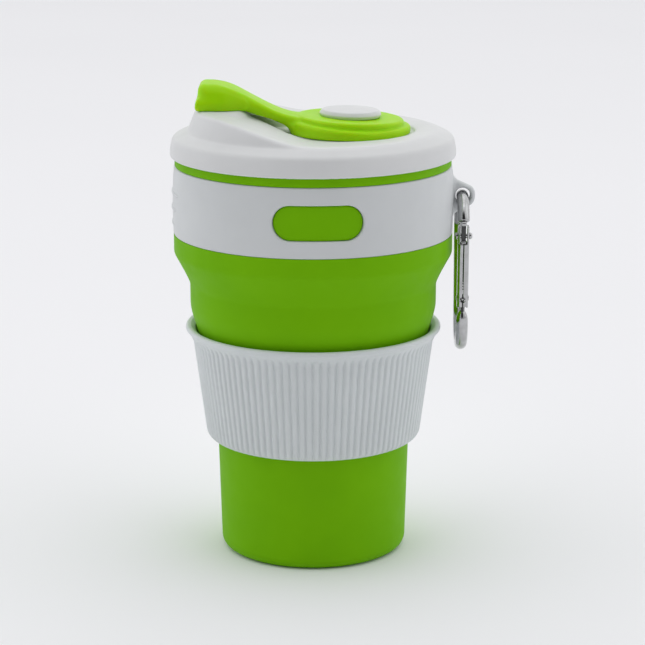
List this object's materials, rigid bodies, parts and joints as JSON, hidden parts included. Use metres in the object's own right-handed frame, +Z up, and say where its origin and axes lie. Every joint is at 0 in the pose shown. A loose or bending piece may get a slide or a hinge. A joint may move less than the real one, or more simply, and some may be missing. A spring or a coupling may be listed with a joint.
{
  "type": "collapsible travel cup",
  "caption": "Folding silicone travel cup with stepped tiers, plastic collar, ribbed heat sleeve, spouted lid, strapped spout stopper and a snap hook on the collar's ear.",
  "frame": {"origin": "centre of the foot, on the cup's axis, in the plane it stands on", "axes": "+Z up along the cup's axis, -X towards the spout, +X towards the ear and snap hook, -Y towards the collar's window"},
  "size_m": [0.0959, 0.09, 0.1504],
  "materials": {
    "cup_silicone": "soft matte silicone",
    "stopper_silicone": "soft matte silicone",
    "collar_plastic": "satin moulded polypropylene",
    "sleeve_plastic": "satin moulded plastic",
    "lid_plastic": "satin moulded polypropylene",
    "button_plastic": "satin moulded polypropylene",
    "hook_steel": "polished plated steel"
  },
  "bodies": {
    "base": {"base_tier": "cup_silicone", "lower_fold": "cup_silicone"},
    "middle": {"middle_tier": "cup_silicone", "upper_fold": "cup_silicone"},
    "rim": {"rim_tier": "cup_silicone", "collar": "collar_plastic"},
    "sleeve": {"sleeve": "sleeve_plastic"},
    "lid": {"lid": "lid_plastic", "lid_skirt": "lid_plastic", "lid_seal": "lid_plastic", "stopper_disc": "stopper_silicone", "strap_button": "button_plastic"},
    "stopper": {"stopper_strap": "stopper_silicone", "spout_cap": "stopper_silicone"},
    "hook": {"hook_body": "hook_steel", "hook_pivot_pin": "hook_steel"},
    "gate": {"hook_gate": "hook_steel", "hook_latch_pin": "hook_steel", "hook_spring": "hook_steel"}
  },
  "joints": [
    {"name": "lower_fold_slide", "type": "slide", "parent": "base", "child": "middle", "axis": [0, 0, 1], "range_m": [-0.033, 0], "deforming": ["lower_fold"]},
    {"name": "upper_fold_slide", "type": "slide", "parent": "middle", "child": "rim", "axis": [0, 0, 1], "range_m": [-0.02, 0], "deforming": ["upper_fold"]},
    {"name": "sleeve_slide", "type": "slide", "parent": "middle", "child": "sleeve", "axis": [0, 0, -1], "range_m": [0, 0.0335]},
    {"name": "lid_lift", "type": "slide", "parent": "rim", "child": "lid", "axis": [0, 0, 1], "range_m": [0, 0.03]},
    {"name": "stopper_hinge", "type": "hinge", "parent": "lid", "child": "stopper", "pos_m": [-0.01, 0, 0.14], "axis": [0, 1, 0], "range_deg": [0, 100], "deforming": ["stopper_strap"]},
    {"name": "hook_swing", "type": "hinge", "parent": "rim", "child": "hook", "pos_m": [0.047, 0, 0.1144], "axis": [0, -1, 0], "range_deg": [-3, 95]},
    {"name": "gate_hinge", "type": "hinge", "parent": "hook", "child": "gate", "pos_m": [0.047, -0.00821, 0.0831], "axis": [-1, 0, 0], "range_deg": [0, 30], "stiffness_Nm_per_rad": 0.04, "springref_deg": -22.92}
  ]
}
